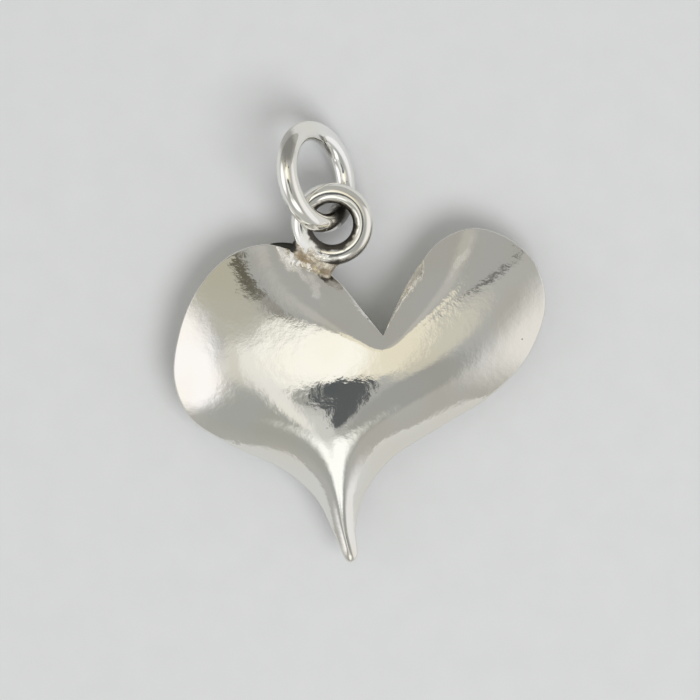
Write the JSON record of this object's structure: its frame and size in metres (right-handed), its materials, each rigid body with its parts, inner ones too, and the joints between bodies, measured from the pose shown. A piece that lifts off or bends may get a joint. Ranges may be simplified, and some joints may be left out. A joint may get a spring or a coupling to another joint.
{
  "type": "heart charm",
  "caption": "Hollow puffed heart charm with a long tail, a wire ring soldered to one shoulder and a loose open ring through it.",
  "frame": {"origin": "on the surface that the charm lies on, under the middle of its whole outline", "axes": "+Z out of the heart's domed front, +Y from the tip of the tail towards the rings, +X to the right seen from the front"},
  "size_m": [0.0186, 0.022, 0.0048],
  "materials": {
    "front_silver": "mirror polish, fine pits and scratches",
    "back_silver": "polished, softer than the front, rubbed where it rests",
    "seam_solder": "filed flush, dull",
    "ring_wire": "high polish",
    "bail_solder": "rough, as melted, slightly tarnished"
  },
  "bodies": {
    "heart": {"front_shell": "front_silver", "back_shell": "back_silver", "seam_solder": "seam_solder", "bail_ring": "ring_wire", "bail_solder": "bail_solder"},
    "loose_ring": {"jump_ring": "ring_wire"}
  },
  "joints": [
    {"name": "loose_ring_swing", "type": "hinge", "parent": "heart", "child": "loose_ring", "pos_m": [-0.00137, 0.00588, 0.0021], "axis": [0, 0, 1], "range_deg": [-110, 86]}
  ]
}
